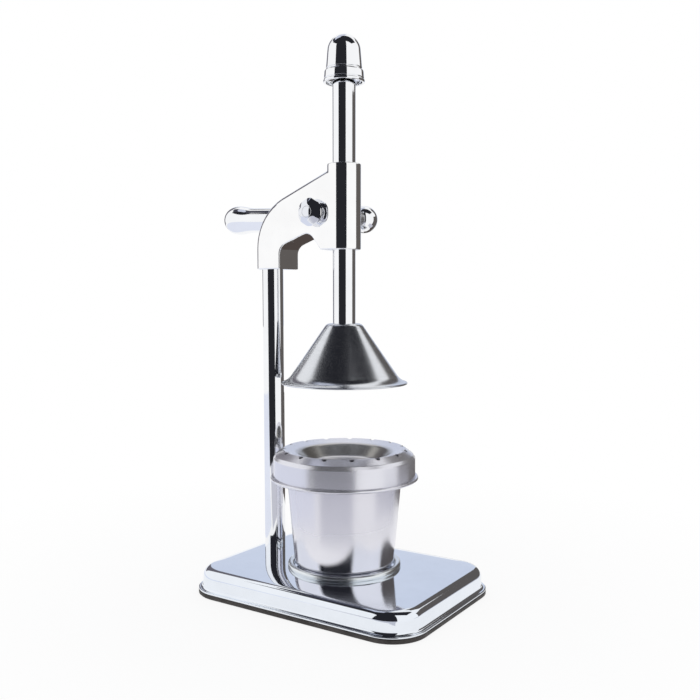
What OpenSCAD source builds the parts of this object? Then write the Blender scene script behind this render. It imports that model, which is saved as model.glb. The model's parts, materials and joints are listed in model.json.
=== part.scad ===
// Hand lever citrus press: a rack and pinion ram on a column, over a strainer and a cup.
// Millimetres. Origin at the middle of the base's underside, +X towards the cup, +Z up.

/* [Base] */
// Length of the base over its lip
base_l = 186; // [175:1:210]
// Width of the base over its lip
base_w = 136; // [125:1:160]
// Height of the base's top above the table
base_h = 20.5; // [17:0.5:26]
// Corner radius of the base over its lip
base_corner = 26; // [20:1:34]
// Thickness of the pressed base sheet
base_t = 1.2; // [0.8:0.1:1.6]
// Width of the flat lip round the bottom of the base
lip_w = 3.2; // [2:0.2:5]
// How far the side walls lean in over their height
wall_lean = 1.8; // [0.5:0.1:4]
// Radius of the roll between the side walls and the top
top_roll = 6; // [3:0.5:8]
// Thickness of the rubber pad whose edge shows under the lip
pad_t = 3.4; // [2:0.2:5]

/* [Column] */
// Distance of the column behind the middle of the base
column_back = 61.9; // [50:0.5:66]
// Outer diameter of the column tube
column_d = 15.6; // [12:0.2:17]
// Wall of the column tube
column_wall = 1.5; // [1:0.1:2]
// Length of the threaded plug in the foot of the tube
plug_l = 25; // [18:1:40]
// Diameter of the bolt that holds the column
column_bolt_d = 8; // [6:0.5:9]

/* [Head] */
// Distance from the column to the ram
reach = 64.1; // [60:0.5:72]
// Height of the collar's lower face above the table
collar_z = 235; // [215:1:260]
// Depth of the socket that takes the top of the column
socket_l = 30; // [20:1:34]
// Height of the sleeve's lower face over the collar's
sleeve_rise = 12.6; // [8:0.2:16]
// Length of the sleeve that guides the ram
sleeve_l = 59.1; // [55:0.1:64]
// Wall of the sleeve round the ram
sleeve_wall = 3.8; // [3:0.1:5]
// Half the thickness of the arm between the collar and the sleeve
arm_half = 11.4; // [10.5:0.1:11.7]
// Radius of the arm's back, seen from the side
arm_bend = 40; // [34:1:44]
// Slope of the arm's upper edge, in degrees
arm_slope = 22.4; // [18:0.2:26]
// Distance from the column to the flat front face of the collar
collar_front = 15.1; // [13:0.1:18]
// Height of the round boss under the nut
boss_h = 2.6; // [0.6:0.2:3]
// Diameter of the set screws in the collar
set_screw_d = 6; // [4:0.5:8]

/* [Rack and pinion] */
// Gear module
gear_module = 1.5; // [1.4:0.05:1.55]
// Number of pinion teeth
pinion_teeth = 16; // [15:1:17]
// Width of the pinion
pinion_w = 8; // [6:0.5:8.5]
// Height of the pinion shaft above the sleeve's lower face
shaft_rise = 26; // [24:0.2:30]
// Distance from the ram's axis to the rack's pitch line
rack_offset = 6.4; // [6.2:0.05:6.5]
// Travel of the ram
stroke = 37; // [25:1:38]
// Play between the teeth, measured on the pitch line
backlash = 0.14; // [0.1:0.01:0.2]
// Wall of casting left between the pinion's pocket and the arch
pocket_wall = 1.5; // [1.2:0.1:3]

/* [Lever] */
// Distance from the middle of the head to the middle of the lever
lever_out = 55; // [45:1:70]
// Distance from the shaft to the bulb of the lever
lever_l = 125; // [100:1:150]
// Diameter of the lever's bar
lever_d = 19.6; // [17:0.2:21]
// Diameter of the bulb at the lever's end
bulb_d = 23.2; // [21:0.2:28]
// Angle of the lever above level, pointing back
lever_tilt = 2.5; // [-10:0.5:20]
// Diameter of the pinion shaft where it carries the lever
shaft_d = 12; // [10:0.5:13]

/* [Ram] */
// Diameter of the ram
rod_d = 16; // [15.8:0.1:17]
// Height of the press cone's rim above the table, at rest
cone_z = 153.2; // [150:0.5:170]
// Outer diameter of the press cone's rim
cone_d = 89.2; // [80:0.5:92]
// Height of the press cone
cone_h = 42.9; // [36:0.5:46]
// Diameter of the press cone's flat top with its shoulder
cone_top_d = 29; // [24:0.5:34]
// Radius of the rounded shoulder round that top
cone_shoulder = 4.6; // [3:0.1:5.5]
// Radius of the flare at the cone's rim
cone_flare = 12; // [6:0.5:15]
// Sheet thickness of the press cone
cone_t = 1.2; // [0.8:0.1:1.6]
// Height of the cap's lower rim over the top of the cone
cap_rise = 165.5; // [156:0.5:172]
// Height of the cap
cap_h = 32.5; // [30:0.2:40]
// Diameter of the cap's lower rim
cap_d = 28.8; // [26:0.2:32]

/* [Cup and strainer] */
// Outer diameter of the cup just over its rounded foot
cup_foot_d = 72.6; // [66:0.2:76]
// Radius of the rounded foot
cup_foot_r = 6; // [4:0.5:8]
// Height of the cup to the top of its rolled rim
cup_h = 80.7; // [75:0.1:88]
// How much the cup's radius grows between its foot and its neck
cup_flare = 5.5; // [3:0.1:6]
// Sheet thickness of the cup
cup_t = 1; // [0.8:0.1:1.2]
// Radius of the bead rolled round the cup's rim
rim_bead = 1.3; // [1.1:0.05:1.5]
// Half the width of the raised ring on the base that holds the cup
ring_bead = 2.2; // [1.4:0.1:2.2]
// Height of that ring
ring_h = 3.6; // [2.4:0.2:4]
// Distance from the cup's foot to the middle of that ring
ring_play = 2.5; // [2.5:0.1:4]
// Diameter of the seam between the strainer's dish and its ring
seam_d = 87.8; // [86:0.2:90]
// Diameter of the strainer's skirt
skirt_d = 102; // [98:0.5:108]
// Depth of the strainer's skirt below the seam
skirt_l = 21.8; // [17:0.2:26]
// Height of the slope between the skirt and the seam
slope_h = 4.8; // [4:0.1:6]
// Play of the cup's rim inside the strainer's skirt
strainer_play = 0.4; // [0.3:0.05:1]
// Depth of the strainer's dish
dish_depth = 11; // [8:0.5:12]
// Diameter of the dish's flat floor
dish_floor_d = 44; // [36:1:52]
// Sheet thickness of the strainer
strainer_t = 0.9; // [0.7:0.05:1.2]
// Number of juice notches round the seam
notches = 15; // [10:1:24]

/* [Hidden] */
$fn = 72;

chrome = [0.80, 0.82, 0.85];
steel = [0.66, 0.67, 0.69];
rubber = [0.10, 0.09, 0.09];

// Clearances: between fixed pieces, round a turning or sliding fit, and between loose curved faces
fixed_gap = 0.03;
run_gap = 0.05;
loose_gap = 0.3;

column_r = column_d / 2;
rod_r = rod_d / 2;
sleeve_r = rod_r + sleeve_wall;
column_x = -column_back;
ram_x = column_x + reach;
sleeve_z = collar_z + sleeve_rise;
sleeve_top = sleeve_z + sleeve_l;
under_top = base_h - base_t;

pitch_r = gear_module * pinion_teeth / 2;
tip_r = pitch_r + gear_module;
root_r = pitch_r - 1.25 * gear_module;
base_circle_r = pitch_r * cos(20);
tooth_pitch = PI * gear_module;
shaft_x = ram_x - rack_offset - pitch_r - 0.02;
shaft_z = sleeve_z + shaft_rise;
shaft_r = shaft_d / 2;
journal_r = 5;
thread_r = 4;
thread_l = 4;
pocket_r = tip_r + 0.4;
rack_w = pinion_w + 2 * loose_gap;
pocket_near = -pinion_w / 2 - loose_gap;
bush_near = pinion_w / 2 + loose_gap;
bush_flange_r = pocket_r + 0.7;
bush_flange_t = 2.2;
key_w = 3;
key_h = 1.3;
seat_r = 7;

cone_top_z = cone_z + cone_h;
cap_z = cone_top_z + cap_rise;
cap_top = cap_z + cap_h;
rod_top = cap_top - 8;
skirt_bead = 1.15;
slope_run = (skirt_d - seam_d) / 2 - 0.8;
slope_angle = atan(slope_h / slope_run);
rim_mid_r = skirt_d / 2 - strainer_t - strainer_play - rim_bead;
// The underside of the strainer's slope lies over the middle of the cup's rolled rim
seam_z = base_h + cup_h - rim_bead + (rim_mid_r - seam_d / 2) * tan(slope_angle)
    + (rim_bead + loose_gap + strainer_t) / cos(slope_angle);

// Points on an arc in steps, from one angle to another
function arc(c, r, a0, a1, n = 8) = [for (i = [0:n]) c + r * [cos(a0 + (a1 - a0) * i / n), sin(a0 + (a1 - a0) * i / n)]];

// A sheet's outline: a path and the same path moved sideways by the sheet's thickness
function side(p, q) = let (v = (q - p) / norm(q - p)) [-v[1], v[0]];
function mitre(p, i) = let (
    n = len(p) - 1,
    a = side(p[max(i - 1, 0)], p[max(i - 1, 0) + 1]),
    b = side(p[min(i, n - 1)], p[min(i, n - 1) + 1])
) (a + b) / (1 + a * b);
function sheet(p, t) = concat(p, [for (i = [len(p) - 1:-1:0]) p[i] + t * mitre(p, i)]);

// Half the angle that a tooth fills at radius r, in degrees
function inv_deg(a) = tan(a) * 180 / PI - a;
function flank(r) = (tooth_pitch / 2 - backlash) / 2 / pitch_r * 180 / PI
    + inv_deg(20) - inv_deg(acos(min(1, base_circle_r / r)));

function gear_outline() = [for (k = [0:pinion_teeth - 1])
    for (q = concat(
        [[root_r, -flank(base_circle_r)]],
        [for (i = [0:4]) let (r = base_circle_r + (tip_r - base_circle_r) * i / 4) [r, -flank(r)]],
        [for (i = [4:-1:0]) let (r = base_circle_r + (tip_r - base_circle_r) * i / 4) [r, flank(r)]],
        [[root_r, flank(base_circle_r)]]))
    let (a = k * 360 / pinion_teeth + q[1]) q[0] * [cos(a), sin(a)]];

// Sweeps a half section round a rectangle with round corners and fills its middle
module pan(l, w, r, z0, z1) {
    for (s = [[1, 1, 0], [-1, 1, 90], [-1, -1, 180], [1, -1, 270]])
        translate([s[0] * (l / 2 - r), s[1] * (w / 2 - r), 0])
            rotate([0, 0, s[2]])
                rotate_extrude(angle = 90)
                    children();
    for (s = [[0, w - 2 * r, l / 2 - r], [90, l - 2 * r, w / 2 - r], [180, w - 2 * r, l / 2 - r], [270, l - 2 * r, w / 2 - r]])
        rotate([0, 0, s[0]])
            translate([s[2], s[1] / 2, 0])
                rotate([90, 0, 0])
                    linear_extrude(s[1])
                        children();
    translate([-l / 2 + r, -w / 2 + r, z0])
        cube([l - 2 * r, w - 2 * r, z1 - z0]);
}

// Turns a shape made along Z so that it runs along +Y from the shaft's axis
module on_shaft(y) {
    translate([shaft_x, y, shaft_z])
        rotate([-90, 0, 0])
            children();
}

module at_ram(z) {
    translate([ram_x, 0, z])
        children();
}

module base_shell() {
    lip_top = pad_t + base_t;
    foot_r = 2.2;
    wall = base_corner - lip_w;
    path = concat(
        [[0, base_h]],
        arc([wall - wall_lean - top_roll, base_h - top_roll], top_roll, 90, 6, 7),
        arc([wall + foot_r, lip_top + foot_r], foot_r, 186, 270, 4),
        [[base_corner, lip_top]]);
    color(chrome)
        difference() {
            pan(base_l, base_w, base_corner, under_top, base_h)
                polygon(sheet(path, -base_t));
            translate([column_x, 0, 0])
                cylinder(h = base_h + 1, d = column_bolt_d + 0.6);
        }
}

module locating_ring() {
    color(chrome)
        at_ram(base_h)
            rotate_extrude()
                translate([cup_foot_d / 2 + ring_play, 0])
                    polygon(concat(
                        [[-ring_bead, 0], [ring_bead, 0]],
                        arc([0, ring_h - ring_bead], ring_bead, 0, 180, 12)));
}

module base_pad() {
    edge = 0.6;
    color(rubber)
        pan(base_l, base_w, base_corner, 0, pad_t)
            polygon([[0, 0], [base_corner - edge, 0], [base_corner, edge], [base_corner, pad_t - edge],
                [base_corner - edge, pad_t], [0, pad_t]]);
}

module column_tube() {
    color(chrome)
        translate([column_x, 0, base_h])
            difference() {
                cylinder(h = collar_z + socket_l - base_h, r = column_r);
                translate([0, 0, -1])
                    cylinder(h = collar_z + socket_l - base_h + 2, r = column_r - column_wall);
            }
}

module column_plug() {
    color(steel)
        translate([column_x, 0, base_h])
            difference() {
                cylinder(h = plug_l, r = column_r - column_wall - fixed_gap);
                translate([0, 0, -1])
                    cylinder(h = plug_l + 2, d = column_bolt_d + 2 * fixed_gap);
            }
}

washer_t = 1.6;
bolt_head_t = 5.5;

module column_washer() {
    color(steel)
        translate([column_x, 0, under_top - washer_t])
            difference() {
                cylinder(h = washer_t, d = column_bolt_d * 3);
                translate([0, 0, -1])
                    cylinder(h = washer_t + 2, d = column_bolt_d + 0.6);
            }
}

module column_bolt() {
    color(steel)
        translate([column_x, 0, under_top - washer_t]) {
            translate([0, 0, -bolt_head_t])
                cylinder(h = bolt_head_t, d = column_bolt_d * 1.85, $fn = 6);
            cylinder(h = washer_t + base_t + plug_l * 0.75, d = column_bolt_d);
        }
}

arch_r = 7.5;
heel_r = 8;
boss_r = 6.8;
arch_side = 20;

// Side view of the opening under the arm, in X and Z
function arch_outline() = let (
    front = [column_x + collar_front, 0],
    top = [shaft_x, shaft_z] + (pocket_r + pocket_wall + arch_r) * [cos(252.8), sin(252.8)],
    start = top + arch_r * [cos(90 + arch_side), sin(90 + arch_side)],
    heel_x = front[0] + heel_r,
    heel_p = heel_x + heel_r * cos(90 + arch_side),
    heel_z = start[1] - (start[0] - heel_p) * tan(arch_side) - heel_r * sin(90 + arch_side)
) concat(
    [[front[0], collar_z - 1]],
    arc([heel_x, heel_z], heel_r, 180, 90 + arch_side, 6),
    arc(top, arch_r, 90 + arch_side, 42, 8),
    [[ram_x - sleeve_r - 0.6, sleeve_z], [ram_x - sleeve_r - 0.6, collar_z - 1]]);

// A ball with its poles on the flat sides of the arm
module arm_ball(p) {
    translate([p[0], 0, p[1]])
        rotate([90, 0, 0])
            rotate_extrude($fn = 48)
                polygon(arc([0, 0], arm_half, -90, 90, 12));
}

// The arm before its arch and bores are cut: flat sides and a full round back
module arm_blank() {
    bend = [column_x - arm_half + arm_bend, collar_z + 15.2];
    mid_r = arm_bend - arm_half;
    steep = 90 + arm_slope;
    start = bend + mid_r * [cos(steep), sin(steep)];
    run = ram_x - 1 - start[0];
    hull() {
        translate([column_x, 0, collar_z])
            cylinder(h = 1, r = arm_half, $fn = 48);
        for (p = arc(bend, mid_r, steep, 180, 9))
            arm_ball(p);
        arm_ball(start + run * [1, tan(arm_slope)]);
        translate([column_x, -arm_half, collar_z])
            cube([ram_x - 1 - column_x, 2 * arm_half, 1]);
    }
}

module head_casting() {
    color(chrome)
        difference() {
            union() {
                arm_blank();
                at_ram(sleeve_z)
                    cylinder(h = sleeve_l, r = sleeve_r);
                on_shaft(-arm_half - boss_h)
                    cylinder(h = boss_h + 1, r = boss_r);
            }
            rotate([90, 0, 0])
                translate([0, 0, -20])
                    linear_extrude(40)
                        polygon(arch_outline());
            translate([ram_x - 20, -20, collar_z - 1])
                cube([50, 40, sleeve_rise + 1]);
            at_ram(sleeve_z - 1)
                cylinder(h = sleeve_l + 2, r = rod_r + run_gap);
            translate([column_x, 0, collar_z - 1])
                cylinder(h = socket_l + 1, r = column_r + fixed_gap);
            on_shaft(pocket_near)
                cylinder(h = 30, r = pocket_r);
            on_shaft(-20)
                cylinder(h = 30, r = journal_r + run_gap);
            for (z = screw_heights)
                translate([column_x, 0, z])
                    rotate([-90, 0, 0])
                        cylinder(h = 20, d = set_screw_d + 2 * fixed_gap);
        }
}

screw_heights = [collar_z + socket_l * 0.27, collar_z + socket_l * 0.73];

module set_screws() {
    color(steel)
        for (z = screw_heights)
            translate([column_x, column_r + fixed_gap, z])
                rotate([-90, 0, 0])
                    difference() {
                        cylinder(h = arm_half - column_r - 0.4, d = set_screw_d);
                        translate([0, 0, 1])
                            cylinder(h = 10, d = set_screw_d / 2, $fn = 6);
                    }
}

module bearing_bush() {
    color(steel)
        difference() {
            union() {
                on_shaft(bush_near)
                    cylinder(h = arm_half - bush_near, r = pocket_r - fixed_gap);
                on_shaft(arm_half)
                    cylinder(h = bush_flange_t, r = bush_flange_r);
            }
            on_shaft(0)
                cylinder(h = 30, r = shaft_r + run_gap);
            at_ram(sleeve_z)
                cylinder(h = sleeve_l, r = rod_r + loose_gap);
        }
}

washer_gap = 0.4;
washer_face = -arm_half - boss_h - washer_gap;
nut_face = washer_face - 1.2;
lever_end = lever_out + 6;

module pinion_shaft() {
    color(steel)
        difference() {
            union() {
                on_shaft(nut_face - thread_l)
                    cylinder(h = thread_l + 1.2, r = thread_r);
                on_shaft(washer_face)
                    cylinder(h = -washer_face - pinion_w / 2, r = journal_r);
                on_shaft(-pinion_w / 2)
                    cylinder(h = pinion_w, r = seat_r);
                on_shaft(pinion_w / 2)
                    cylinder(h = lever_end - pinion_w / 2, r = shaft_r);
            }
            key_slot();
        }
}

module key_slot() {
    translate([shaft_x - key_w / 2, -pinion_w / 2 - 1, shaft_z + seat_r - key_h])
        cube([key_w, pinion_w + 1, 2 * key_h]);
}

module pinion_gear() {
    color(steel)
        difference() {
            translate([shaft_x, pinion_w / 2, shaft_z])
                rotate([90, 0, 0])
                    linear_extrude(pinion_w)
                        polygon(gear_outline());
            on_shaft(-pinion_w / 2 - 1)
                cylinder(h = pinion_w + 2, r = seat_r + fixed_gap);
            key_slot();
        }
}

module pinion_key() {
    color(steel)
        translate([shaft_x - key_w / 2 + fixed_gap, -pinion_w / 2, shaft_z + seat_r - key_h + fixed_gap])
            cube([key_w - 2 * fixed_gap, pinion_w - fixed_gap, 2 * key_h - 2 * fixed_gap]);
}

module shaft_washer() {
    color(chrome)
        on_shaft(nut_face)
            difference() {
                cylinder(h = 1.2, r = 7.8);
                translate([0, 0, -1])
                    cylinder(h = 4, r = thread_r + fixed_gap);
            }
}

module dome_nut() {
    hex_r = 10.6;
    hex_h = 2.4;
    dome_r = 8;
    dome_h = 3.4;
    color(chrome)
        difference() {
            translate([shaft_x, nut_face, shaft_z])
                rotate([90, 0, 0]) {
                    intersection() {
                        cylinder(h = hex_h, r1 = hex_r, r2 = hex_r - 1.6, $fn = 6);
                        cylinder(h = hex_h + 1, r1 = hex_r - 0.9, r2 = hex_r - 3);
                    }
                    translate([0, 0, hex_h])
                        rotate_extrude()
                            polygon(concat([[0, -1], [dome_r, -1]],
                                [for (i = [0:9]) [dome_r * cos(i * 10), dome_h * sin(i * 10)]]));
                }
            on_shaft(nut_face - thread_l - 0.3)
                cylinder(h = thread_l + 2, r = thread_r + fixed_gap);
        }
}

// The lever's outline as a body of revolution, from the hub's end to the bulb's tip
function lever_outline() = let (
    r = lever_d / 2,
    b = bulb_d / 2,
    hub = r + 0.4
) concat(
    [[0, -hub]],
    [for (i = [1:6]) [hub * sin(i * 15), -hub * cos(i * 15)]],
    [[r, 16], [r, lever_l - 17]],
    [for (i = [1:5]) [r + (b - r) * (1 - cos(i * 36)) / 2, lever_l - 17 + i * 3.4]],
    [for (i = [1:6]) [b * cos(i * 15), lever_l + 13.8 * sin(i * 15)]]);

module lever_handle() {
    color(chrome)
        difference() {
            translate([shaft_x, lever_out, shaft_z])
                rotate([0, -90 + lever_tilt, 0])
                    rotate_extrude()
                        polygon(lever_outline());
            on_shaft(lever_out - 20)
                cylinder(h = lever_end - lever_out + 20 + fixed_gap, r = shaft_r + fixed_gap);
            translate([shaft_x, lever_out, shaft_z - 20])
                cylinder(h = 20, r = 2.5 + fixed_gap);
        }
}

module lever_screw() {
    color(steel)
        translate([shaft_x, lever_out, shaft_z - lever_d / 2 + 0.2])
            difference() {
                cylinder(h = lever_d / 2 - 0.2 - shaft_r - fixed_gap - 0.02, r = 2.5);
                translate([0, 0, -1])
                    cylinder(h = 2.2, r = 1.3, $fn = 6);
            }
}

// Side view of one tooth space of the rack, x measured out from the ram's axis
module rack_space() {
    half = tooth_pitch / 4;
    polygon([
        [rack_offset - 1.25 * gear_module, -half + 1.25 * gear_module * tan(20)],
        [rod_r + 1, -half - (rod_r + 1 - rack_offset) * tan(20)],
        [rod_r + 1, half + (rod_r + 1 - rack_offset) * tan(20)],
        [rack_offset - 1.25 * gear_module, half - 1.25 * gear_module * tan(20)]]);
}

module rack_rod() {
    spaces_over = ceil((stroke + 8) / tooth_pitch);
    color(chrome)
        difference() {
            at_ram(cone_top_z)
                cylinder(h = rod_top - cone_top_z, r = rod_r);
            for (k = [-2:spaces_over])
                translate([ram_x, 0, shaft_z + k * tooth_pitch])
                    rotate([90, 0, 180])
                        translate([0, 0, -rack_w / 2])
                            linear_extrude(rack_w)
                                rack_space();
            at_ram(cone_top_z - 1)
                cylinder(h = 17, r = 3 + fixed_gap);
        }
}

module end_cap() {
    r = cap_d / 2;
    neck = r - 2.2;
    band = 8;
    top_r = r - 2.6;
    color(chrome)
        at_ram(cap_z)
            difference() {
                rotate_extrude()
                    polygon(concat(
                        [[0, 0], [r - 0.6, 0]],
                        arc([r - 1, 1.1], 1, -60, 70, 5),
                        [[r - 0.8, 2.6], [r - 1.1, band - 1.2]],
                        arc([r - 2.1, band - 1.4], 1, 10, 80, 4),
                        [[neck, band - 0.3], [neck, band + 0.5], [neck + 0.3, band + 0.9]],
                        arc([0, cap_h - top_r - 0.1], top_r, 6, 90, 14),
                        [[0, cap_h]]));
                translate([0, 0, -1])
                    cylinder(h = rod_top - cap_z + 1 + fixed_gap, r = rod_r + fixed_gap);
                translate([0, 0, -1])
                    cylinder(h = 4, r = r - 2.4);
            }
}

module press_cone() {
    top = [cone_top_d / 2 - cone_shoulder, cone_h - cone_shoulder];
    // The wall touches the shoulder's round and the round of the flared rim
    rim_end = 75;
    rim = [cone_d / 2, cone_t] + cone_flare * [cos(rim_end), sin(rim_end)];
    lean = atan2(rim[1] - top[1], rim[0] - top[0]) + acos((cone_shoulder + cone_flare) / norm(rim - top));
    path = concat(
        [[0, cone_h]],
        arc(top, cone_shoulder, 90, lean, 6),
        arc(rim, -cone_flare, lean, rim_end, 6));
    color(steel)
        at_ram(cone_z)
            difference() {
                rotate_extrude()
                    polygon(sheet(path, -cone_t));
                cylinder(h = 100, r = 3.2);
            }
}

module cone_washer() {
    color(steel)
        at_ram(cone_top_z - cone_t - 1.4)
            difference() {
                cylinder(h = 1.4, r = 9);
                translate([0, 0, -1])
                    cylinder(h = 4, r = 3.2);
            }
}

module cone_screw() {
    color(steel)
        at_ram(cone_top_z - cone_t - 1.4) {
            translate([0, 0, -4.5])
                cylinder(h = 4.5, r = 5.8, $fn = 6);
            cylinder(h = 15, r = 3);
        }
}

module cup() {
    foot = cup_foot_d / 2;
    neck = foot + cup_flare;
    turn = rim_mid_r - neck;
    neck_z = cup_h - 2 * rim_bead - turn;
    mid = [rim_mid_r, neck_z + turn + rim_bead];
    knee = [foot - cup_foot_r, cup_foot_r];
    color(steel)
        at_ram(base_h)
            rotate_extrude()
                polygon(concat(
                    [[0, 0]],
                    arc(knee, cup_foot_r, -90, 0, 6),
                    arc([rim_mid_r, neck_z], turn, 180, 95, 7),
                    arc(mid, rim_bead, -85, 175, 12),
                    arc([rim_mid_r, neck_z], turn + cup_t, 105, 180, 6),
                    arc(knee, cup_foot_r - cup_t, 0, -90, 6),
                    [[0, cup_t]]));
}

module at_notches() {
    for (k = [0:notches - 1])
        rotate([0, 0, k * 360 / notches - 1.7])
            translate([seam_d / 2, 0, -4])
                children();
}

dish_lip = 1.6;

module strainer_ring() {
    seam = seam_d / 2 + fixed_gap;
    skirt = skirt_d / 2;
    shoulder = 1.8;
    low = -skirt_l;
    mid = [skirt - shoulder, -slope_h - shoulder * 0.6];
    ledge = 2 * strainer_t;
    ledge_end = seam + (ledge - strainer_t / cos(slope_angle)) / tan(slope_angle);
    color(steel)
        at_ram(seam_z)
            difference() {
                rotate_extrude()
                    polygon(concat(
                        [[seam, 0]],
                        arc(mid, shoulder, 90 - slope_angle, 0, 5),
                        arc([skirt + skirt_bead - 0.05, low + skirt_bead], skirt_bead, 150, -90, 9),
                        [[skirt - strainer_t, low]],
                        arc(mid, shoulder - strainer_t, 0, 90 - slope_angle, 5),
                        [[ledge_end, -ledge], [seam - dish_lip + 0.2, -ledge], [seam - dish_lip + 0.2, -strainer_t],
                            [seam, -strainer_t]]));
                at_notches()
                    cylinder(h = 8, r = 1.3);
            }
}

module strainer_dish() {
    seam = seam_d / 2;
    floor_r = dish_floor_d / 2;
    wall = seam - dish_lip - floor_r;
    path = concat(
        [[seam, 0]],
        [for (i = [8:-1:0]) let (u = i / 8) [floor_r + wall * u, -dish_depth * (1 - u * u)]],
        [[0, -dish_depth]]);
    color(steel)
        at_ram(seam_z)
            difference() {
                rotate_extrude()
                    polygon(sheet(path, strainer_t));
                at_notches()
                    cylinder(h = 8, r = 1.3);
            }
}

base_shell();
base_pad();
locating_ring();
column_tube();
column_plug();
column_washer();
column_bolt();
head_casting();
set_screws();
bearing_bush();
pinion_shaft();
pinion_gear();
pinion_key();
shaft_washer();
dome_nut();
lever_handle();
lever_screw();
rack_rod();
end_cap();
press_cone();
cone_washer();
cone_screw();
cup();
strainer_ring();
strainer_dish();
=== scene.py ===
# A hand lever citrus press in chrome and brushed steel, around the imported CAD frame.
import json
import math

import bmesh
import bpy
from mathutils import Matrix, Vector


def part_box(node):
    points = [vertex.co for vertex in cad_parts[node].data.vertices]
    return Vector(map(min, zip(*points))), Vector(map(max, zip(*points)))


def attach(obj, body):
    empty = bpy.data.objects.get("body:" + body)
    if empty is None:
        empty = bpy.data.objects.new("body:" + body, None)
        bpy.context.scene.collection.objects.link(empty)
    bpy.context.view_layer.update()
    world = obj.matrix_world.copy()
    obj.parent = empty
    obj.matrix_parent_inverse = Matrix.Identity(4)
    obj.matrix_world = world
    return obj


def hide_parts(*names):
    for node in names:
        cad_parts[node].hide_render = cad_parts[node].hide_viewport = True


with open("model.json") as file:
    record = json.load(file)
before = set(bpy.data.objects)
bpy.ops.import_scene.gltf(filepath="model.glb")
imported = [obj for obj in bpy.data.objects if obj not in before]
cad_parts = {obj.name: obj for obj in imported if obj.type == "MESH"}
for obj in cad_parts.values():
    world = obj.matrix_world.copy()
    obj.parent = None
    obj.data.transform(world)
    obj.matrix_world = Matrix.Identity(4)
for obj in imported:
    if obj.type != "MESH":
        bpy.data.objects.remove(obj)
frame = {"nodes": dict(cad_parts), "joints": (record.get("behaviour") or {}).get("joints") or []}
scene = bpy.context.scene
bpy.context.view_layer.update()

MM = 0.001


def middle(node):
    low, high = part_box(node)
    return Vector([(a + b) / 2 for a, b in zip(low, high)])


RAM = middle("rack_rod")

# Camera
AZIMUTH, ELEVATION = math.radians(33.453), math.radians(5.930)
FOCAL_PX, FRAME_PX = 845.96, 700
CAMERA_AT, SENSOR_MM, SHIFT_Y = (0.33734, -0.49982, 0.21459), 36, 0.05


def make_camera():
    cam = bpy.data.objects.new("camera", bpy.data.cameras.new("camera"))
    scene.collection.objects.link(cam)
    side = math.cos(ELEVATION)
    back = Vector((math.sin(AZIMUTH) * side, -math.cos(AZIMUTH) * side, math.sin(ELEVATION)))
    cam.location = CAMERA_AT
    cam.rotation_mode = "QUATERNION"
    cam.rotation_quaternion = (-back).to_track_quat("-Z", "Y")
    cam.data.sensor_width = SENSOR_MM
    cam.data.lens = SENSOR_MM * FOCAL_PX / FRAME_PX
    cam.data.shift_y = SHIFT_Y
    cam.data.clip_start, cam.data.clip_end = 0.01, 50
    scene.camera = cam


# Node helpers
class Graph:
    """A short way to write a node tree."""

    def __init__(self, tree):
        self.tree = tree
        tree.nodes.clear()

    def node(self, kind, **sets):
        n = self.tree.nodes.new(kind)
        for key, value in sets.items():
            if key in n.inputs:
                self.put(n.inputs[key], value)
            else:
                setattr(n, key, value)
        return n

    def put(self, socket, value):
        if isinstance(value, bpy.types.NodeSocket):
            self.tree.links.new(value, socket)
        else:
            socket.default_value = value

    def math(self, operation, a, b=0.0):
        n = self.tree.nodes.new("ShaderNodeMath")
        n.operation = operation
        self.put(n.inputs[0], a)
        self.put(n.inputs[1], b)
        return n.outputs[0]

    def span(self, value, low, high, to_low, to_high, soft=False):
        """Maps low..high to to_low..to_high, held at both ends."""
        n = self.tree.nodes.new("ShaderNodeMapRange")
        n.interpolation_type = "SMOOTHSTEP" if soft else "LINEAR"
        for i, v in enumerate((value, low, high, to_low, to_high)):
            self.put(n.inputs[i], v)
        return n.outputs[0]

    def noise(self, vector, scale, detail=3.0, rough=0.5):
        n = self.node("ShaderNodeTexNoise", Scale=scale, Detail=detail, Roughness=rough)
        self.put(n.inputs["Vector"], vector)
        return n.outputs["Fac"]

    def mix(self, fac, a, b):
        n = self.tree.nodes.new("ShaderNodeMix")
        n.data_type = "RGBA"
        self.put(n.inputs["Factor"], fac)
        self.put(n.inputs[6], (*a, 1.0) if isinstance(a, tuple) else a)
        self.put(n.inputs[7], (*b, 1.0) if isinstance(b, tuple) else b)
        return n.outputs[2]

    def bump(self, height, distance, strength):
        n = self.node("ShaderNodeBump", Strength=strength, Distance=distance)
        self.put(n.inputs["Height"], height)
        return n.outputs["Normal"]


def material(name, finish):
    """A node material whose principled shader is filled by finish(graph, shader, place)."""
    mat = bpy.data.materials.new(name)
    mat.use_nodes = True
    g = Graph(mat.node_tree)
    out = g.node("ShaderNodeOutputMaterial")
    shader = g.node("ShaderNodeBsdfPrincipled")
    place = g.node("ShaderNodeTexCoord").outputs["Object"]
    finish(g, shader, place)
    g.put(out.inputs["Surface"], shader.outputs[0])
    return mat


def around_ram(g, place):
    """Radius, angle and height round the ram's axis."""
    split = g.node("ShaderNodeSeparateXYZ", Vector=place)
    x = g.math("SUBTRACT", split.outputs[0], RAM.x)
    y = split.outputs[1]
    radius = g.math("SQRT", g.math("ADD", g.math("MULTIPLY", x, x), g.math("MULTIPLY", y, y)))
    return radius, g.math("ARCTAN2", y, x), split.outputs[2]


def turned_lines(g, place, fine):
    """Noise drawn out round the ram's axis, as a lathe or a polishing wheel leaves it."""
    radius, angle, height = around_ram(g, place)
    along = g.node("ShaderNodeCombineXYZ", X=g.math("MULTIPLY", radius, fine),
                   Y=g.math("MULTIPLY", angle, 0.9), Z=g.math("MULTIPLY", height, fine))
    return g.noise(along.outputs[0], 1.0, 4.0, 0.6)


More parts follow.
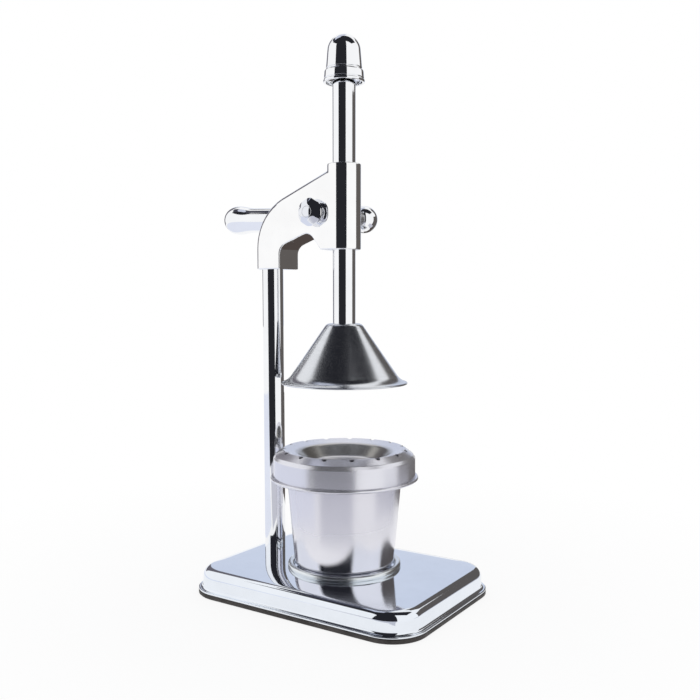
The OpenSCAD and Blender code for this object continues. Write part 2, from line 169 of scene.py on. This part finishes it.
def chrome_finish(color, wave, rough):
    """Plated mirror metal: faint waviness, and a haze of fine wipe marks."""
    def finish(g, shader, place):
        haze = g.noise(place, 55.0, 4.0, 0.6)
        marks = g.noise(place, 900.0, 2.0)
        tint = g.span(haze, 0.35, 0.65, 0.0, 1.0)
        g.put(shader.inputs["Base Color"], g.mix(tint, color, tuple(c * 0.965 for c in color)))
        shader.inputs["Metallic"].default_value = 1.0
        g.put(shader.inputs["Roughness"], g.span(g.math("ADD", haze, g.math("MULTIPLY", marks, 0.3)),
                                                 0.4, 0.9, rough, rough + 0.03))
        g.put(shader.inputs["Normal"], g.bump(g.noise(place, wave, 1.5), 0.0004, 0.12))
    return finish


FINE_LINES = 5200.0


def turned_finish(color, rough, deep, metal=1.0, fade=0.93):
    """Sheet that was polished on a lathe, with fine rings round the ram's axis."""
    def finish(g, shader, place):
        lines = turned_lines(g, place, FINE_LINES)
        broad = turned_lines(g, place, FINE_LINES / 9)
        both = g.math("ADD", g.math("MULTIPLY", lines, 0.65), g.math("MULTIPLY", broad, 0.35))
        tone = g.span(both, 0.35, 0.65, 0.0, 1.0)
        g.put(shader.inputs["Base Color"], g.mix(tone, tuple(c * fade for c in color), color))
        shader.inputs["Metallic"].default_value = metal
        shader.inputs["Anisotropic"].default_value = 0.1
        tangent = g.node("ShaderNodeTangent", direction_type="RADIAL", axis="Z")
        g.put(shader.inputs["Tangent"], tangent.outputs[0])
        g.put(shader.inputs["Roughness"], g.span(tone, 0.0, 1.0, rough + 0.03, rough - 0.02))
        g.put(shader.inputs["Normal"], g.bump(both, deep, 0.5))
    return finish


pressed_finish = turned_finish((0.78, 0.78, 0.84), 0.23, 0.000001, metal=0.85, fade=0.98)

# Radii between which painted shade darkens the dish's wall, and fades again
SHADE_START, SHADE_FULL, SHADE_FADES, SHADE_END = 0.022, 0.027, 0.032, 0.037


def dish_finish_and_shade(g, shader, place):
    """The strainer's dish: turned sheet as its side, with painted shade darkening the wall that falls to its
    floor.
    """
    pressed_finish(g, shader, place)
    sheet = shader.inputs["Base Color"].links[0].from_socket
    radius = around_ram(g, place)[0]
    # Painted shade: a darker colour painted on the wall between these radii, where the recess reads dark.
    painted_shade = g.math("MINIMUM", g.span(radius, SHADE_START, SHADE_FULL, 0.0, 1.0, soft=True),
                  g.span(radius, SHADE_FADES, SHADE_END, 1.0, 0.0, soft=True))
    g.put(shader.inputs["Base Color"], g.mix(painted_shade, sheet, (0.40, 0.39, 0.37)))


# Heights over the cup's foot between which the polish turns to satin
POLISH_TOP, SATIN_START = 0.014, 0.042


def satin_finish(g, shader, place):
    """The cup: a fine blasted satin above, polished low down."""
    foot_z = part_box("cup")[0][2]
    height = around_ram(g, place)[2]
    edge = g.math("MULTIPLY", g.noise(place, 30.0, 2.0), 0.012)
    up = g.math("ADD", height, edge)
    satin = g.span(up, foot_z + POLISH_TOP, foot_z + SATIN_START, 0.0, 1.0, soft=True)
    grain = g.noise(place, 5200.0, 2.0)
    cloud = g.noise(place, 42.0, 3.0)
    tone = g.math("ADD", g.math("MULTIPLY", grain, 0.6), g.math("MULTIPLY", cloud, 0.4))
    color = g.mix(g.span(tone, 0.35, 0.65, 0.0, 1.0), (0.76, 0.755, 0.82), (0.82, 0.815, 0.87))
    g.put(shader.inputs["Base Color"], color)
    g.put(shader.inputs["Metallic"], g.span(satin, 0.0, 1.0, 1.0, 0.72))
    g.put(shader.inputs["Roughness"], g.span(satin, 0.0, 1.0, 0.1, 0.24))
    g.put(shader.inputs["Normal"], g.bump(grain, 0.00003, 0.5))


def steel_finish(g, shader, place):
    """Plain machined steel on the pieces inside and below."""
    cloud = g.noise(place, 160.0, 4.0)
    fine = g.noise(place, 4200.0, 2.0)
    tone = g.span(cloud, 0.3, 0.7, 0.0, 1.0)
    g.put(shader.inputs["Base Color"], g.mix(tone, (0.44, 0.44, 0.46), (0.56, 0.57, 0.59)))
    shader.inputs["Metallic"].default_value = 1.0
    g.put(shader.inputs["Roughness"], g.span(cloud, 0.3, 0.7, 0.26, 0.4))
    g.put(shader.inputs["Normal"], g.bump(fine, 0.00004, 0.5))


def rubber_finish(g, shader, place):
    """Moulded black-brown rubber with a fine grain and a little dust."""
    grain = g.noise(place, 2600.0, 3.0)
    dust = g.noise(place, 90.0, 4.0)
    tone = g.span(dust, 0.4, 0.75, 0.0, 1.0)
    g.put(shader.inputs["Base Color"], g.mix(tone, (0.022, 0.018, 0.017), (0.06, 0.052, 0.05)))
    g.put(shader.inputs["Roughness"], g.span(grain, 0.3, 0.7, 0.5, 0.66))
    g.put(shader.inputs["Normal"], g.bump(grain, 0.0001, 0.6))


CHROME = material("chrome", chrome_finish((0.92, 0.93, 0.95), 26.0, 0.03))
BASE_CHROME = material("chrome_base", chrome_finish((0.84, 0.88, 0.94), 14.0, 0.03))
CAST_CHROME = material("chrome_cast", chrome_finish((0.97, 0.97, 0.975), 60.0, 0.04))
BRUSHED = material("brushed_steel", turned_finish((0.76, 0.78, 0.82), 0.2, 0.000001))
PRESSED = material("pressed_steel", pressed_finish)
DISH_STEEL = material("dish_steel", dish_finish_and_shade)
RING_CHROME = material("chrome_ring", chrome_finish((0.80, 0.84, 0.87), 14.0, 0.24))
# Painted reflection: the nut's chrome is a darker lavender copy of the chrome, standing in for the tones its
# facets mirror, so it stands apart from the white arm.
NUT_REFLECTION_CHROME = material("chrome_nut_painted_reflection", chrome_finish((0.82, 0.84, 0.89), 60.0, 0.04))
SATIN = material("satin_steel", satin_finish)
STEEL = material("plain_steel", steel_finish)
RUBBER = material("rubber", rubber_finish)

NODE_MATERIALS = {
    "base_shell": BASE_CHROME, "locating_ring": RING_CHROME, "base_pad": RUBBER,
    "column_tube": CHROME, "column_plug": STEEL, "column_washer": STEEL, "column_bolt": STEEL,
    "head_casting": CAST_CHROME, "set_screws": STEEL, "bearing_bush": CAST_CHROME,
    "pinion_shaft": STEEL, "pinion_gear": STEEL, "pinion_key": STEEL,
    "shaft_washer": NUT_REFLECTION_CHROME, "dome_nut": NUT_REFLECTION_CHROME, "lever_handle": CHROME, "lever_screw": STEEL,
    "rack_rod": CHROME, "end_cap": CHROME, "press_cone": BRUSHED,
    "cone_washer": STEEL, "cone_screw": STEEL,
    "cup": SATIN, "strainer_ring": PRESSED, "strainer_dish": DISH_STEEL,
}


def dress_nodes():
    for name, mat in NODE_MATERIALS.items():
        obj = frame["nodes"][name]
        if not obj.material_slots:
            obj.data.materials.append(mat)
        for slot in obj.material_slots:
            slot.material = mat


# Shapes
def bow(center, radius, start, end, steps):
    """Points on an arc, angles in degrees."""
    turns = [math.radians(start + (end - start) * i / steps) for i in range(steps + 1)]
    return [(center[0] + radius * math.cos(t), center[1] + radius * math.sin(t)) for t in turns]


def rounded(corners, steps=6):
    """A closed outline whose corners (x, z, radius) are rounded, with a point close beside each round."""
    points = []
    count = len(corners)
    for i, (x, z, radius) in enumerate(corners):
        here = Vector((x, z))
        back = (Vector(corners[i - 1][:2]) - here).normalized()
        on = (Vector(corners[(i + 1) % count][:2]) - here).normalized()
        if radius == 0:
            points.append((x, z))
            continue
        half = back.angle(on) / 2
        cut = radius / math.tan(half)
        mid = here + (back + on).normalized() * radius / math.sin(half)
        first, last = here + back * cut - mid, here + on * cut - mid
        turn = first.angle_signed(last)
        points.append(tuple(mid + first + back * 0.05 * radius))
        for k in range(steps + 1):
            t = -turn * k / steps
            points.append((mid.x + first.x * math.cos(t) - first.y * math.sin(t),
                           mid.y + first.x * math.sin(t) + first.y * math.cos(t)))
        points.append(tuple(mid + last + on * 0.05 * radius))
    return points


def finish_mesh(name, mesh, mat, body, nodes, crease=None):
    """Makes the piece, smooth but for edges sharper than crease degrees, and seats it on its body."""
    bm = bmesh.new()
    bm.from_mesh(mesh)
    bmesh.ops.remove_doubles(bm, verts=bm.verts, dist=1e-6)
    bmesh.ops.recalc_face_normals(bm, faces=bm.faces)
    for face in bm.faces:
        face.smooth = True
    if crease:
        for edge in bm.edges:
            if len(edge.link_faces) == 2 and edge.calc_face_angle() > math.radians(crease):
                edge.smooth = False
    bm.to_mesh(mesh)
    bm.free()
    mesh.materials.clear()
    mesh.materials.append(mat)
    piece = bpy.data.objects.new(name, mesh)
    scene.collection.objects.link(piece)
    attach(piece, body)
    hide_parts(*nodes)


SEGMENTS = 192


def turned(name, points, closed=True):
    """A mesh turned round Z from an outline in millimetres."""
    verts, faces = [], []
    for k in range(SEGMENTS):
        c, s = math.cos(2 * math.pi * k / SEGMENTS), math.sin(2 * math.pi * k / SEGMENTS)
        verts += [(r * c * MM, r * s * MM, z * MM) for r, z in points]
    n = len(points)
    for k in range(SEGMENTS):
        a, b = k * n, (k + 1) % SEGMENTS * n
        for i in range(n if closed else n - 1):
            j = (i + 1) % n
            if points[i][0] < 1e-6 and points[j][0] < 1e-6:
                continue
            faces.append((a + i, b + i, b + j, a + j))
    mesh = bpy.data.meshes.new(name)
    mesh.from_pydata(verts, [], faces)
    bm = bmesh.new()
    bm.from_mesh(mesh)
    bmesh.ops.remove_doubles(bm, verts=bm.verts, dist=1e-7)
    bmesh.ops.recalc_face_normals(bm, faces=bm.faces)
    bm.to_mesh(mesh)
    bm.free()
    return mesh


def baked(obj):
    """The object's mesh with its modifiers applied; the object itself goes."""
    mesh = bpy.data.meshes.new_from_object(obj.evaluated_get(bpy.context.evaluated_depsgraph_get()))
    bpy.data.objects.remove(obj)
    return mesh


def loose_object(name, mesh):
    obj = bpy.data.objects.new(name, mesh)
    scene.collection.objects.link(obj)
    return obj


def at_ram(mesh, z):
    mesh.transform(Matrix.Translation((RAM.x, 0, z)))
    return mesh


# Ram
def make_cap():
    """The cap: a lip and a belt, a groove over them, and a dome. Corners are radius, height and rounding."""
    low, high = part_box("end_cap")
    r = (high[0] - low[0]) / 2 / MM
    top = (high[2] - low[2]) / MM
    dome = r - 2.9
    bore, recess = 8.04, 3.2
    lip = [(bore, recess, 0), (r - 2.2, recess, 0.3), (r - 1.9, 0.0, 0.4), (r - 0.2, 0.0, 0.5), (r, 1.5, 0.5)]
    belt = [(r - 0.9, 2.0, 0.12), (r - 0.9, 2.4, 0.12), (r - 0.5, 2.8, 0.2), (r - 0.9, 8.2, 1.4)]
    groove = [(r - 2.4, 8.5, 0.12), (r - 2.4, 9.1, 0.12), (r - 1.9, 9.6, 0.3)]
    over = [(x, z, 0) for x, z in bow((0, top - dome), dome, 4, 90, 24)]
    inside = [(0, top - 4, 0), (bore, top - 12, 0)]
    mesh = turned("cap", rounded(lip + belt + groove + over + inside))
    finish_mesh("cap", at_ram(mesh, low[2]), CHROME, "ram", ["end_cap"])


def make_cone():
    """The spun cone: a flat top with a hole, a round shoulder, and a flare out to its rim."""
    low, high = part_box("press_cone")
    rim_r, height = (high[0] - low[0]) / 2 / MM, (high[2] - low[2]) / MM
    top_r, hole_r, sheet = 14.5, 3.3, 1.2
    shoulder, flare, rim_end = 4.6, 12.0, 75
    top = Vector((top_r - shoulder, height - shoulder))
    out_of_rim = Vector((math.cos(math.radians(rim_end)), math.sin(math.radians(rim_end))))
    rim = Vector((rim_r, sheet)) + flare * out_of_rim
    gap = rim - top
    lean = math.degrees(math.atan2(gap.y, gap.x) + math.acos((shoulder + flare) / gap.length))
    lip = rim - flare * out_of_rim
    outer = [(hole_r, height)] + bow(top, shoulder, 90, lean, 14) + bow(rim, -flare, lean, rim_end, 18)
    edge = bow((lip.x - 0.1, lip.y - sheet / 2), sheet / 2, 80, -80, 8)
    inner = bow(rim, -flare - sheet, rim_end, lean, 18) + bow(top, shoulder - sheet, lean, 90, 14)
    mesh = turned("cone", outer + edge + inner + [(hole_r, height - sheet)])
    finish_mesh("cone", at_ram(mesh, low[2]), BRUSHED, "ram", ["press_cone"])


# Cup and strainer
def make_cup():
    """The cup: a rounded foot, a straight side, and a rolled bead at its rim."""
    low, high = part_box("cup")
    foot, foot_r, sheet, bead, widening = 36.3, 6.0, 1.0, 1.3, 5.5
    mid = Vector(((high[0] - low[0]) / 2 / MM - bead, (high[2] - low[2]) / MM - bead))
    bend = mid.x - (foot + widening)
    knee, curl = (foot - foot_r, foot_r), (mid.x, mid.y - bead - bend)
    outer = [(0, 0)] + bow(knee, foot_r, -90, 0, 12) + bow(curl, bend, 180, 95, 12)
    outer += bow(mid, bead, -85, 175, 18)
    inner = bow(curl, bend + sheet, 105, 180, 10) + bow(knee, foot_r - sheet, 0, -90, 12) + [(0, sheet)]
    mesh = turned("cup_shell", outer + inner)
    finish_mesh("cup_shell", at_ram(mesh, low[2]), SATIN, "cup", ["cup"])


def make_ring():
    """The half-round ring, let a little into the base's falling top."""
    low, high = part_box("locating_ring")
    outer, height = (high[0] - low[0]) / 2 / MM, (high[2] - low[2]) / MM
    half, sink = 2.2, 1.4
    points = [(outer - 2 * half, -sink), (outer, -sink)]
    points += bow((outer - half, height - half), half, 0, 180, 18)
    mesh = turned("ring", points)
    finish_mesh("ring", at_ram(mesh, low[2]), RING_CHROME, "stand", ["locating_ring"])


NOTCHES, NOTCH_R, NOTCH_L, NOTCH_TURN = 15, 2.0, 8, -1.7


def notched(mesh, seam_r):
    """Cuts the juice notches round the seam."""
    cuts = bmesh.new()
    for k in range(NOTCHES):
        a = math.radians(k * 360 / NOTCHES + NOTCH_TURN)
        made = bmesh.ops.create_cone(cuts, cap_ends=True, segments=20, radius1=NOTCH_R * MM,
                                     radius2=NOTCH_R * MM, depth=NOTCH_L * MM)
        place = (seam_r * MM * math.cos(a), seam_r * MM * math.sin(a), 0)
        bmesh.ops.translate(cuts, verts=made["verts"], vec=place)
    cutter_mesh = bpy.data.meshes.new("cutter")
    cuts.to_mesh(cutter_mesh)
    cuts.free()
    cutter = loose_object("cutter", cutter_mesh)
    blank = loose_object("blank", mesh)
    cut = blank.modifiers.new("notches", "BOOLEAN")
    cut.object = cutter
    cut.solver = "EXACT"
    out = baked(blank)
    bpy.data.objects.remove(cutter)
    return out


SEAM_R, SEAM_GAP, SHEET = 43.9, 0.03, 0.9


def make_strainer_ring():
    """The strainer's side, from the seam out and down to its bead, then up inside to the dish's ledge."""
    low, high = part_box("strainer_ring")
    skirt, bead, middle_z, ledge_z, ledge_l = 51.0, 1.15, -12, -1.9, 1.4
    bottom = -(high[2] - low[2]) / MM
    seam, under = SEAM_R + SEAM_GAP, -SHEET - 0.02
    outer = [(seam, 0.0, 0.25), (skirt - 1.5, -4.0, 1.6), (skirt, -6.4, 1.4), (skirt, middle_z, 0)]
    curl = [(x, z, 0) for x, z in bow((skirt + bead - 0.05, bottom + bead), bead, 150, -90, 18)]
    painted_shade = skirt - SHEET
    inner = [(painted_shade, bottom, 0), (painted_shade, middle_z, 0), (painted_shade, -6.6, 0.8), (skirt - 2.05, -4.7, 0.8)]
    ledge = [(SEAM_R + 1.5, ledge_z, 0.1), (SEAM_R - ledge_l, ledge_z, 0.1), (SEAM_R - ledge_l, under, 0.05),
             (seam, under, 0)]
    mesh = notched(turned("strainer_side", rounded(outer + curl + inner + ledge, 8)), SEAM_R)
    finish_mesh("strainer_side", at_ram(mesh, high[2]), PRESSED, "strainer", ["strainer_ring"],
                crease=50)


def make_dish():
    """The dish: a brow inside the seam, a wall that falls, and a plain floor."""
    low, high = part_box("strainer_dish")
    deep = (high[2] - low[2]) / MM - SHEET
    brow, brow_z, floor = 33.5, -2.6, 24.5
    over = [(SEAM_R, 0.0, 0.15), (brow, brow_z, 6.0), (floor, -deep, 5.0), (0, -deep, 0)]
    under = [(0, -deep - SHEET, 0), (floor - 0.5, -deep - SHEET, 5.6), (brow - 0.5, brow_z - SHEET, 5.4),
             (SEAM_R, -SHEET, 0.1)]
    mesh = notched(turned("dish", rounded(over + under, 12)), SEAM_R)
    finish_mesh("dish", at_ram(mesh, high[2]), DISH_STEEL, "strainer", ["strainer_dish"],
                crease=50)


# Lever and nut
def shaft_axis():
    return Vector(next(j for j in frame["joints"] if j["name"] == "lever_turn")["pos_m"])


def make_lever():
    """The lever: a round hub on the shaft, a straight bar, and a bulb at its end."""
    low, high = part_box("lever_handle")
    out = (low[1] + high[1]) / 2
    r, bulb, hub, length = 9.8, 11.6, 10.2, 125.0
    tilt, bar_start, bar_end, swell, tip = 2.5, 17, length - 19, 17, 13.8
    points = [(hub * math.sin(math.radians(7.5 * i)), -hub * math.cos(math.radians(7.5 * i)))
              for i in range(13)]
    points += [(r + (hub - r) * (1 - i / 8) ** 2, 2 * i) for i in range(1, 9)]
    points += [(r, bar_start + i * (bar_end - bar_start) / 10) for i in range(11)]
    points += [(r + (bulb - r) * (1 - math.cos(math.pi * i / 16)) / 2, length - swell + i * swell / 16)
               for i in range(1, 17)]
    points += [(bulb * math.cos(math.radians(5 * i)), length + tip * math.sin(math.radians(5 * i)))
               for i in range(1, 19)]
    mesh = turned("lever", points, closed=False)
    axis = shaft_axis()
    lean = Matrix.Rotation(math.radians(tilt - 90), 4, "Y")
    mesh.transform(Matrix.Translation((axis.x, out, axis.z)) @ lean)
    finish_mesh("lever", mesh, CHROME, "crank", ["lever_handle"])


def make_nut():
    """A low domed hexagon nut, as a height over rings and rays."""
    low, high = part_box("dome_nut")
    lower, flat, edge_r = 1.4, 9.18, 9.7
    tall = (high[1] - low[1]) / MM - lower
    rays, rings = 144, 30
    facet_h, facet_rise, chamfer_h, chamfer_rise = 0.9, 0.62, 0.6, 0.75
    crown, crown_r = 0.5, 4.1

    def from_flat(a):
        """The angle to the middle of the nearest flat, in radians."""
        return math.radians((math.degrees(a) - 30) % 60 - 30)

    def height(r, a):
        facet = facet_h + facet_rise * (flat - r * math.cos(from_flat(a)))
        chamfer = chamfer_h + chamfer_rise * (edge_r - r)
        dome = tall - crown * (r / crown_r) ** 2
        return max(0.0, min(facet, chamfer, dome))

    verts, faces = [(0, 0, tall * MM)], []
    for k in range(1, rings + 2):
        for i in range(rays):
            a = 2 * math.pi * i / rays
            full = min(flat / math.cos(from_flat(a)), edge_r)
            r = full * min(k, rings) / rings
            z = height(r, a) if k <= rings else 0
            verts.append((r * math.cos(a) * MM, r * math.sin(a) * MM, z * MM))
    for i in range(rays):
        j = (i + 1) % rays
        faces.append((0, 1 + i, 1 + j))
        for k in range(rings):
            a, b = 1 + k * rays, 1 + (k + 1) * rays
            faces.append((a + i, b + i, b + j, a + j))
    faces.append(tuple(1 + rings * rays + i for i in range(rays - 1, -1, -1)))
    mesh = bpy.data.meshes.new("nut")
    mesh.from_pydata(verts, [], faces)
    axis = shaft_axis()
    mesh.transform(Matrix.Translation((axis.x, high[1], axis.z)) @ Matrix.Rotation(math.radians(90), 4, "X"))
    finish_mesh("nut", mesh, NUT_REFLECTION_CHROME, "crank", ["dome_nut"], crease=22)


# Head
HEAD_GRID, HEAD_SOFTENING = 0.00045, 9


def make_head():
    """The casting's solid with its edges softened, as a polished casting's are."""
    blank = loose_object("head_blank", frame["nodes"]["head_casting"].data.copy())
    grid = blank.modifiers.new("grid", "REMESH")
    grid.mode = "VOXEL"
    grid.voxel_size = HEAD_GRID
    soft = blank.modifiers.new("soft", "SMOOTH")
    soft.factor = 0.5
    soft.iterations = HEAD_SOFTENING
    finish_mesh("head", baked(blank), CAST_CHROME, "stand", ["head_casting"])


# Base
BASE_CROWN, TOP_ROWS, CORNER_STEPS = 1.5, 24, 14
SIDE_STEPS = (0.02, 0.1, 0.2, 0.3, 0.4, 0.5, 0.6, 0.7, 0.8, 0.9, 0.98)


def outline(half_x, half_y, radius, height):
    """A rounded rectangle round the origin, in metres."""
    x, y = half_x - radius, half_y - radius
    points = []
    for cx, cy, start in ((x, y, 0), (-x, y, 90), (-x, -y, 180), (x, -y, 270)):
        points += [(cx + p[0], cy + p[1]) for p in bow((0, 0), radius, start, start + 90, CORNER_STEPS)]
    full = []
    for i, (a, b) in enumerate(zip(points, points[1:] + points[:1])):
        full.append(a)
        if i % (CORNER_STEPS + 1) == CORNER_STEPS:
            full += [(a[0] + (b[0] - a[0]) * t, a[1] + (b[1] - a[1]) * t) for t in SIDE_STEPS]
    return [(px * MM, py * MM, height * MM) for px, py in full]


def make_base():
    """The pressed base: a lip, upright walls, a soft roll, and a top that falls away towards its edges."""
    low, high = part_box("base_shell")
    half_x, half_y = (high[0] - low[0]) / 2 / MM, (high[1] - low[1]) / 2 / MM
    top, lip_z = high[2] / MM, low[2] / MM
    corner, lip, sheet, roll, foot = 26.0, 3.2, 1.2, 6.6, 2.0
    wall_tilt, wall_in = 1.5, 0.3
    inner_x, inner_y, inner_r = 60.0, 28.0, 13.0
    foot_x = lip - foot
    roll_x = lip + wall_in + roll
    rise = 3 * BASE_CROWN / (half_y - roll_x - inner_y)
    roll_end = 90 - math.degrees(math.atan(rise))
    mid_z = top - BASE_CROWN - roll * math.sin(math.radians(roll_end))
    profile = [(1.6, lip_z), (0.25, lip_z), (0.0, lip_z + 0.3), (0.0, lip_z + 0.85), (0.3, lip_z + sheet)]
    profile += [(foot_x + foot * math.sin(math.radians(a)),
                 lip_z + sheet + foot * (1 - math.cos(math.radians(a))))
                for a in [(90 - wall_tilt) * k / 8 for k in range(9)]]
    profile += [(roll_x - roll * math.cos(math.radians(a)), mid_z + roll * math.sin(math.radians(a)))
                for a in [wall_tilt + (roll_end - wall_tilt) * k / 14 for k in range(15)]]
    rows = [outline(half_x - d, half_y - d, corner - d, z) for d, z in profile]
    edge, mid = rows[-1], outline(inner_x, inner_y, inner_r, 0)
    for k in range(1, TOP_ROWS + 1):
        u = k / TOP_ROWS
        z = (top - BASE_CROWN * (1 - u) ** 3) * MM
        rows.append([(e[0] + (m[0] - e[0]) * u, e[1] + (m[1] - e[1]) * u, z) for e, m in zip(edge, mid)])
    n = len(edge)
    verts = [p for row in rows for p in row]
    faces = [(i * n + j, i * n + (j + 1) % n, (i + 1) * n + (j + 1) % n, (i + 1) * n + j)
             for i in range(len(rows) - 1) for j in range(n)]
    faces.append(tuple((len(rows) - 1) * n + j for j in range(n)))
    mesh = bpy.data.meshes.new("base")
    mesh.from_pydata(verts, [], faces)
    finish_mesh("base", mesh, BASE_CHROME, "stand", ["base_shell"])


def make_column():
    """The tube, let a little into the base's falling top."""
    low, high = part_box("column_tube")
    r, painted_shade, sink = (high[0] - low[0]) / 2 / MM, 1.5, 1.6
    top = (high[2] - low[2]) / MM
    points = [(r - painted_shade, -sink), (r, -sink), (r, top), (r - painted_shade, top)]
    mesh = turned("column", points)
    mesh.transform(Matrix.Translation(((low[0] + high[0]) / 2, 0, low[2])))
    finish_mesh("column", mesh, CHROME, "stand", ["column_tube"], crease=40)


def make_pieces():
    make_base()
    make_column()
    make_ring()
    make_head()
    make_cap()
    make_cone()
    make_cup()
    make_strainer_ring()
    make_dish()
    make_lever()
    make_nut()


# Studio
CARD_R, CARD_MIDDLE_Z = 1.3, 0.15
FLOOR_CARD_R, FLOOR_CARD_Z = 0.45, 0.001
FLOOR_HALF, SHADOW_KEPT, FLOOR_GONE = 6.0, 0.15, 0.42


def light_rays(g):
    """1 for rays that come from the camera, a mirror or glass, and 0 for light on plain surfaces."""
    path = g.node("ShaderNodeLightPath")
    rays = g.math("MAXIMUM", path.outputs["Is Camera Ray"], path.outputs["Is Glossy Ray"])
    return g.math("MAXIMUM", rays, path.outputs["Is Transmission Ray"])


def make_world():
    world = bpy.data.worlds.new("studio")
    scene.world = world
    world.use_nodes = True
    g = Graph(world.node_tree)
    out = g.node("ShaderNodeOutputWorld")
    strength = g.span(light_rays(g), 0.0, 1.0, 0.95, 1.0)
    background = g.node("ShaderNodeBackground", Color=(1, 1, 1, 1), Strength=strength)
    g.put(out.inputs["Surface"], background.outputs[0])
    scene.view_settings.view_transform = "Standard"


def make_floor():
    """A white floor that keeps the object's shadow near it and fades into the white world."""
    mesh = bpy.data.meshes.new("floor")
    s = FLOOR_HALF
    mesh.from_pydata([(-s, -s, 0), (s, -s, 0), (s, s, 0), (-s, s, 0)], [], [(0, 1, 2, 3)])
    floor = bpy.data.objects.new("floor", mesh)
    scene.collection.objects.link(floor)
    mat = bpy.data.materials.new("floor")
    mat.use_nodes = True
    g = Graph(mat.node_tree)
    out = g.node("ShaderNodeOutputMaterial")
    diffuse = g.node("ShaderNodeBsdfDiffuse", Color=(0.92, 0.92, 0.93, 1))
    glow = g.node("ShaderNodeEmission", Color=(1, 1, 1, 1), Strength=1.0)
    place = g.node("ShaderNodeTexCoord").outputs["Object"]
    far = g.node("ShaderNodeVectorMath", operation="LENGTH")
    g.put(far.inputs[0], place)
    fade = g.span(far.outputs["Value"], SHADOW_KEPT, FLOOR_GONE, 0.84, 1.0)
    fac = g.math("MULTIPLY", light_rays(g), fade)
    both = g.node("ShaderNodeMixShader")
    g.put(both.inputs[0], fac)
    g.put(both.inputs[1], diffuse.outputs[0])
    g.put(both.inputs[2], glow.outputs[0])
    g.put(out.inputs["Surface"], both.outputs[0])
    mesh.materials.append(mat)


def add_card(name, rows, color):
    """A card that only mirrors see, from rows of points."""
    width = len(rows[0])
    verts = [p for row in rows for p in row]
    faces = [(i * width + j, i * width + j + 1, (i + 1) * width + j + 1, (i + 1) * width + j)
             for i in range(len(rows) - 1) for j in range(width - 1)]
    mesh = bpy.data.meshes.new(name)
    mesh.from_pydata(verts, [], faces)
    card = bpy.data.objects.new(name, mesh)
    scene.collection.objects.link(card)
    mat = bpy.data.materials.new(name)
    mat.use_nodes = True
    g = Graph(mat.node_tree)
    out = g.node("ShaderNodeOutputMaterial")
    glow = g.node("ShaderNodeEmission", Color=(*color, 1), Strength=1.0)
    g.put(out.inputs["Surface"], glow.outputs[0])
    mesh.materials.append(mat)
    card.visible_camera = False
    card.visible_diffuse = False
    card.visible_shadow = False


def toward(turn, lift, radius=CARD_R):
    """A point on the studio's dome. The turn runs from the camera to its right, the lift from level."""
    a, e = AZIMUTH - math.pi / 2 + math.radians(turn), math.radians(lift)
    level = radius * math.cos(e)
    return (level * math.cos(a), level * math.sin(a), CARD_MIDDLE_Z + radius * math.sin(e))


def spread(ends, step):
    """Values from the first end to the last, about a step apart."""
    n = max(2, int((ends[1] - ends[0]) / step))
    return [ends[0] + (ends[1] - ends[0]) * i / n for i in range(n + 1)]


def on_floor_at(turn, radius):
    """A point just over the floor."""
    return (*toward(turn, 0, radius)[:2], FLOOR_CARD_Z)


TURN_STEP, LIFT_STEP = 3, 4


def dome_card(name, turns, lifts, color, on_floor=False):
    """A patch of the studio's dome. With on_floor it runs on over the floor, in towards the object."""
    span = spread(turns, TURN_STEP)
    rows = [[toward(t, lift) for t in span] for lift in spread(lifts, LIFT_STEP)]
    if on_floor:
        rows = [[on_floor_at(t, r) for t in span] for r in (FLOOR_CARD_R, CARD_R)] + rows
    add_card(name, rows, color)


def floor_card(name, turns, radii, color):
    """A strip lying on the floor."""
    add_card(name, [[on_floor_at(t, r) for t in spread(turns, TURN_STEP)] for r in radii], color)


def flat_card(name, half_width, depths, height, color):
    """A level card overhead, from its far edge to its near edge."""
    front, side = Vector(toward(0, 0, 1.0)[:2]), Vector(toward(90, 0, 1.0)[:2])
    rows = [[(*(front * d + side * w), height) for w in (-half_width, 0, half_width)] for d in depths]
    add_card(name, rows, color)


# Colours of the cards
BLACK = (0.020, 0.0205, 0.025)
GREY = (0.115, 0.105, 0.10)
LEFT_GREY = (0.15, 0.14, 0.16)
CREST_GREY = (0.06, 0.06, 0.08)
SOFFIT_BROWN = (0.075, 0.06, 0.055)
FAR_BLUE = (0.66, 0.71, 0.83)
ABOVE_BLUE = (0.60, 0.63, 0.74)
FLOOR_BLUE = (0.80, 0.83, 0.93)
FLOOR_MID = (0.58, 0.585, 0.65)
FLOOR_RIGHT = (0.56, 0.565, 0.63)


def make_studio():
    make_world()
    make_floor()
    dome_card("card_front", (-57, 17), (0, 66), BLACK, on_floor=True)
    dome_card("card_right", (90, 156), (0, 22), GREY, on_floor=True)
    dome_card("card_right_top", (124, 156), (22, 50), GREY)
    dome_card("card_far", (156, 200), (0, 34), FAR_BLUE)
    floor_card("card_low", (118, 178), (0.25, 0.45), SOFFIT_BROWN)
    floor_card("card_low_far", (157, 187), (0.45, 1.29), SOFFIT_BROWN)
    dome_card("card_left", (-160, -134), (0, 46), LEFT_GREY)
    flat_card("card_over", 1.3, (-0.25, 0.75), 1.45, BLACK)
    dome_card("card_crest", (-140, -98), (50, 59), CREST_GREY)
    dome_card("card_above", (-190, -100), (59, 78), ABOVE_BLUE)
    floor_card("card_floor", (-150, -57), (0.17, 1.3), FLOOR_BLUE)
    floor_card("card_floor_mid", (-46, 17), (0.14, 0.45), FLOOR_MID)
    floor_card("card_floor_right", (62, 118), (0.20, 0.45), FLOOR_RIGHT)


make_camera()
make_studio()
dress_nodes()
make_pieces()
